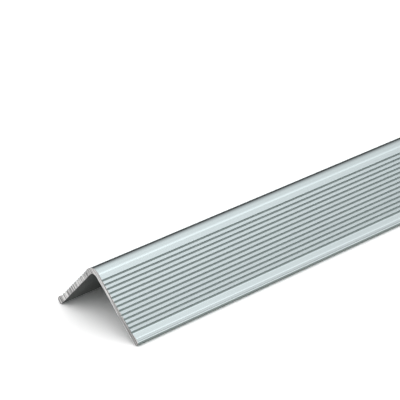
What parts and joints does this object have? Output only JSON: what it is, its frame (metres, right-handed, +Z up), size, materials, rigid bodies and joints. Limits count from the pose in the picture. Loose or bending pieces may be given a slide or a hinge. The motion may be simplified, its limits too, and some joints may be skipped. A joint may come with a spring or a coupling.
{
  "type": "ribbed aluminium angle section",
  "caption": "Equal-leg angle extrusion with fine grooves along both outer faces, a smooth rounded corner, lipped plain edges and a smooth inside, cut square to length.",
  "frame": {"origin": "on the floor, below the middle of the bar and below its corner", "axes": "+X along the bar, +Y across it, +Z up from the two leg tips that it lies on to its rounded corner"},
  "size_m": [1, 0.035, 0.0171],
  "materials": {
    "anodised_aluminium": "satin silver anodised, sawn bare at both ends"
  },
  "bodies": {
    "root": {"ribbed_angle": "anodised_aluminium"}
  },
  "joints": []
}
